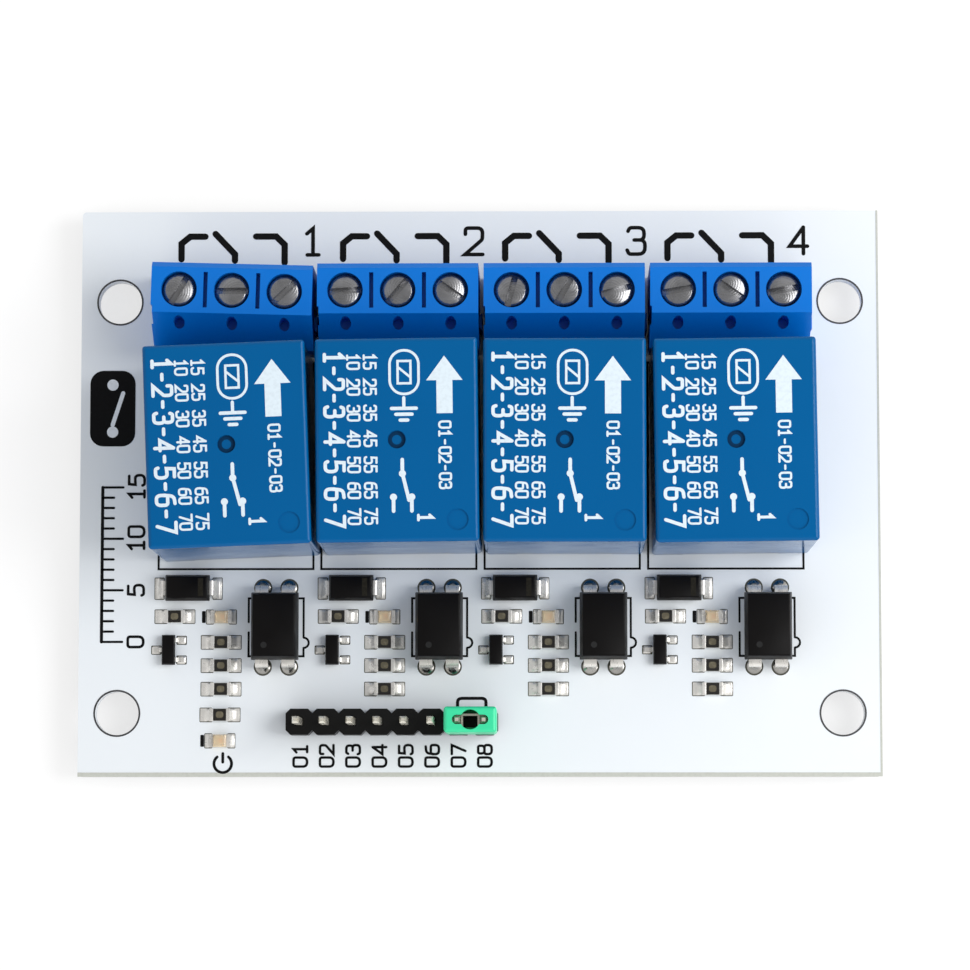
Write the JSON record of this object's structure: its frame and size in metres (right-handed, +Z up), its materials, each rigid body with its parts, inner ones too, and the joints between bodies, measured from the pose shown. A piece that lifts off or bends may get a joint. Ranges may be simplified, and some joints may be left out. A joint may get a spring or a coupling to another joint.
{
  "type": "relay module board",
  "caption": "Circuit board with a row of cube relays, screw terminal blocks along one edge, small driver parts, a pin header and a pull-off jumper.",
  "frame": {"origin": "middle of the board in plan, on the plane that the solder tails under the board stand on", "axes": "+X along the row of relays, +Y towards the screw terminals, +Z up from the board's component side"},
  "size_m": [0.0776, 0.055, 0.0188],
  "materials": {
    "circuit_board": "white solder mask over glass-fibre laminate",
    "relay_cover": "glossy blue moulded case",
    "relay_base": "dark blue moulded base plate",
    "relay_coil": "enamelled copper winding on a moulded bobbin",
    "relay_yoke": "zinc-plated soft iron",
    "relay_armature": "soft iron plate with a copper-alloy spring",
    "relay_contacts": "tinned copper-alloy pins and contact blades",
    "terminal_housing": "satin bright blue moulding",
    "terminal_screw": "nickel-plated steel",
    "wire_clamp": "nickel-plated cage",
    "terminal_pins": "tinned copper alloy",
    "header_body": "black moulding",
    "header_pins": "tinned square pins",
    "jumper_shell": "mint green moulding",
    "jumper_clip": "tinned bronze spring",
    "optocouplers": "black moulded body with tinned leads",
    "diodes": "black moulded body with tinned leads",
    "transistors": "black moulded body with tinned leads",
    "resistors": "dark ceramic chip with tinned ends",
    "indicator_lights": "clear resin on a pale carrier"
  },
  "bodies": {
    "board": {"circuit_board": "circuit_board", "relay_cover_1": "relay_cover", "relay_cover_2": "relay_cover", "relay_cover_3": "relay_cover", "relay_cover_4": "relay_cover", "relay_base_1": "relay_base", "relay_base_2": "relay_base", "relay_base_3": "relay_base", "relay_base_4": "relay_base", "relay_coil_1": "relay_coil", "relay_coil_2": "relay_coil", "relay_coil_3": "relay_coil", "relay_coil_4": "relay_coil", "relay_yoke_1": "relay_yoke", "relay_yoke_2": "relay_yoke", "relay_yoke_3": "relay_yoke", "relay_yoke_4": "relay_yoke", "relay_contacts": "relay_contacts", "terminal_housing_1": "terminal_housing", "terminal_housing_2": "terminal_housing", "terminal_housing_3": "terminal_housing", "terminal_housing_4": "terminal_housing", "terminal_pins": "terminal_pins", "header_body": "header_body", "header_pins": "header_pins", "optocouplers": "optocouplers", "diodes": "diodes", "transistors": "transistors", "resistors": "resistors", "indicator_lights": "indicator_lights"},
    "relay_armature_1": {"relay_armature_1": "relay_armature"},
    "relay_armature_2": {"relay_armature_2": "relay_armature"},
    "relay_armature_3": {"relay_armature_3": "relay_armature"},
    "relay_armature_4": {"relay_armature_4": "relay_armature"},
    "terminal_screw_1_1": {"terminal_screw_1_1": "terminal_screw"},
    "wire_clamp_1_1": {"wire_clamp_1_1": "wire_clamp"},
    "terminal_screw_1_2": {"terminal_screw_1_2": "terminal_screw"},
    "wire_clamp_1_2": {"wire_clamp_1_2": "wire_clamp"},
    "terminal_screw_1_3": {"terminal_screw_1_3": "terminal_screw"},
    "wire_clamp_1_3": {"wire_clamp_1_3": "wire_clamp"},
    "terminal_screw_2_1": {"terminal_screw_2_1": "terminal_screw"},
    "wire_clamp_2_1": {"wire_clamp_2_1": "wire_clamp"},
    "terminal_screw_2_2": {"terminal_screw_2_2": "terminal_screw"},
    "wire_clamp_2_2": {"wire_clamp_2_2": "wire_clamp"},
    "terminal_screw_2_3": {"terminal_screw_2_3": "terminal_screw"},
    "wire_clamp_2_3": {"wire_clamp_2_3": "wire_clamp"},
    "terminal_screw_3_1": {"terminal_screw_3_1": "terminal_screw"},
    "wire_clamp_3_1": {"wire_clamp_3_1": "wire_clamp"},
    "terminal_screw_3_2": {"terminal_screw_3_2": "terminal_screw"},
    "wire_clamp_3_2": {"wire_clamp_3_2": "wire_clamp"},
    "terminal_screw_3_3": {"terminal_screw_3_3": "terminal_screw"},
    "wire_clamp_3_3": {"wire_clamp_3_3": "wire_clamp"},
    "terminal_screw_4_1": {"terminal_screw_4_1": "terminal_screw"},
    "wire_clamp_4_1": {"wire_clamp_4_1": "wire_clamp"},
    "terminal_screw_4_2": {"terminal_screw_4_2": "terminal_screw"},
    "wire_clamp_4_2": {"wire_clamp_4_2": "wire_clamp"},
    "terminal_screw_4_3": {"terminal_screw_4_3": "terminal_screw"},
    "wire_clamp_4_3": {"wire_clamp_4_3": "wire_clamp"},
    "jumper": {"jumper_shell": "jumper_shell", "jumper_clip": "jumper_clip"}
  },
  "joints": [
    {"name": "armature_1_pull_in", "type": "hinge", "parent": "board", "child": "relay_armature_1", "pos_m": [-0.02304, -0.00429, 0.0141], "axis": [-0.9992, -0.0401, 0], "range_deg": [0, 3], "stiffness_Nm_per_rad": 0.02, "springref_deg": -3.44},
    {"name": "armature_2_pull_in", "type": "hinge", "parent": "board", "child": "relay_armature_2", "pos_m": [-0.00736, -0.0039, 0.0141], "axis": [-0.9999, -0.0122, 0], "range_deg": [0, 3], "stiffness_Nm_per_rad": 0.02, "springref_deg": -3.44},
    {"name": "armature_3_pull_in", "type": "hinge", "parent": "board", "child": "relay_armature_3", "pos_m": [0.0082, -0.0039, 0.0141], "axis": [-1, 0, 0], "range_deg": [0, 3], "stiffness_Nm_per_rad": 0.02, "springref_deg": -3.44},
    {"name": "armature_4_pull_in", "type": "hinge", "parent": "board", "child": "relay_armature_4", "pos_m": [0.02424, -0.0039, 0.0141], "axis": [-0.9999, -0.0122, 0], "range_deg": [0, 3], "stiffness_Nm_per_rad": 0.02, "springref_deg": -3.44},
    {"name": "clamp_1_1_rise", "type": "slide", "parent": "board", "child": "wire_clamp_1_1", "axis": [0, 0, 1], "range_m": [0, 0.0019]},
    {"name": "screw_1_1_turn", "type": "hinge", "parent": "board", "child": "terminal_screw_1_1", "pos_m": [-0.02837, 0.01846, 0.0035], "axis": [0, 0, -1], "range_deg": [0, 1370]},
    {"name": "clamp_1_2_rise", "type": "slide", "parent": "board", "child": "wire_clamp_1_2", "axis": [0, 0, 1], "range_m": [0, 0.0019]},
    {"name": "screw_1_2_turn", "type": "hinge", "parent": "board", "child": "terminal_screw_1_2", "pos_m": [-0.02337, 0.01833, 0.0035], "axis": [0, 0, -1], "range_deg": [0, 1370]},
    {"name": "clamp_1_3_rise", "type": "slide", "parent": "board", "child": "wire_clamp_1_3", "axis": [0, 0, 1], "range_m": [0, 0.0019]},
    {"name": "screw_1_3_turn", "type": "hinge", "parent": "board", "child": "terminal_screw_1_3", "pos_m": [-0.01837, 0.0182, 0.0035], "axis": [0, 0, -1], "range_deg": [0, 1370]},
    {"name": "clamp_2_1_rise", "type": "slide", "parent": "board", "child": "wire_clamp_2_1", "axis": [0, 0, 1], "range_m": [0, 0.0019]},
    {"name": "screw_2_1_turn", "type": "hinge", "parent": "board", "child": "terminal_screw_2_1", "pos_m": [-0.0126, 0.01833, 0.0035], "axis": [0, 0, -1], "range_deg": [0, 1370]},
    {"name": "clamp_2_2_rise", "type": "slide", "parent": "board", "child": "wire_clamp_2_2", "axis": [0, 0, 1], "range_m": [0, 0.0019]},
    {"name": "screw_2_2_turn", "type": "hinge", "parent": "board", "child": "terminal_screw_2_2", "pos_m": [-0.0076, 0.01833, 0.0035], "axis": [0, 0, -1], "range_deg": [0, 1370]},
    {"name": "clamp_2_3_rise", "type": "slide", "parent": "board", "child": "wire_clamp_2_3", "axis": [0, 0, 1], "range_m": [0, 0.0019]},
    {"name": "screw_2_3_turn", "type": "hinge", "parent": "board", "child": "terminal_screw_2_3", "pos_m": [-0.0026, 0.01833, 0.0035], "axis": [0, 0, -1], "range_deg": [0, 1370]},
    {"name": "clamp_3_1_rise", "type": "slide", "parent": "board", "child": "wire_clamp_3_1", "axis": [0, 0, 1], "range_m": [0, 0.0019]},
    {"name": "screw_3_1_turn", "type": "hinge", "parent": "board", "child": "terminal_screw_3_1", "pos_m": [0.0032, 0.01833, 0.0035], "axis": [0, 0, -1], "range_deg": [0, 1370]},
    {"name": "clamp_3_2_rise", "type": "slide", "parent": "board", "child": "wire_clamp_3_2", "axis": [0, 0, 1], "range_m": [0, 0.0019]},
    {"name": "screw_3_2_turn", "type": "hinge", "parent": "board", "child": "terminal_screw_3_2", "pos_m": [0.0082, 0.01833, 0.0035], "axis": [0, 0, -1], "range_deg": [0, 1370]},
    {"name": "clamp_3_3_rise", "type": "slide", "parent": "board", "child": "wire_clamp_3_3", "axis": [0, 0, 1], "range_m": [0, 0.0019]},
    {"name": "screw_3_3_turn", "type": "hinge", "parent": "board", "child": "terminal_screw_3_3", "pos_m": [0.0132, 0.01833, 0.0035], "axis": [0, 0, -1], "range_deg": [0, 1370]},
    {"name": "clamp_4_1_rise", "type": "slide", "parent": "board", "child": "wire_clamp_4_1", "axis": [0, 0, 1], "range_m": [0, 0.0019]},
    {"name": "screw_4_1_turn", "type": "hinge", "parent": "board", "child": "terminal_screw_4_1", "pos_m": [0.019, 0.01833, 0.0035], "axis": [0, 0, -1], "range_deg": [0, 1370]},
    {"name": "clamp_4_2_rise", "type": "slide", "parent": "board", "child": "wire_clamp_4_2", "axis": [0, 0, 1], "range_m": [0, 0.0019]},
    {"name": "screw_4_2_turn", "type": "hinge", "parent": "board", "child": "terminal_screw_4_2", "pos_m": [0.024, 0.01833, 0.0035], "axis": [0, 0, -1], "range_deg": [0, 1370]},
    {"name": "clamp_4_3_rise", "type": "slide", "parent": "board", "child": "wire_clamp_4_3", "axis": [0, 0, 1], "range_m": [0, 0.0019]},
    {"name": "screw_4_3_turn", "type": "hinge", "parent": "board", "child": "terminal_screw_4_3", "pos_m": [0.029, 0.01833, 0.0035], "axis": [0, 0, -1], "range_deg": [0, 1370]},
    {"name": "jumper_pull_off", "type": "slide", "parent": "board", "child": "jumper", "axis": [0, 0, 1], "range_m": [0, 0.008]}
  ],
  "couplings": [
    {"joint": "screw_1_1_turn", "follows": "clamp_1_1_rise", "rad_per_m": 12566},
    {"joint": "screw_1_2_turn", "follows": "clamp_1_2_rise", "rad_per_m": 12566},
    {"joint": "screw_1_3_turn", "follows": "clamp_1_3_rise", "rad_per_m": 12566},
    {"joint": "screw_2_1_turn", "follows": "clamp_2_1_rise", "rad_per_m": 12566},
    {"joint": "screw_2_2_turn", "follows": "clamp_2_2_rise", "rad_per_m": 12566},
    {"joint": "screw_2_3_turn", "follows": "clamp_2_3_rise", "rad_per_m": 12566},
    {"joint": "screw_3_1_turn", "follows": "clamp_3_1_rise", "rad_per_m": 12566},
    {"joint": "screw_3_2_turn", "follows": "clamp_3_2_rise", "rad_per_m": 12566},
    {"joint": "screw_3_3_turn", "follows": "clamp_3_3_rise", "rad_per_m": 12566},
    {"joint": "screw_4_1_turn", "follows": "clamp_4_1_rise", "rad_per_m": 12566},
    {"joint": "screw_4_2_turn", "follows": "clamp_4_2_rise", "rad_per_m": 12566},
    {"joint": "screw_4_3_turn", "follows": "clamp_4_3_rise", "rad_per_m": 12566}
  ]
}
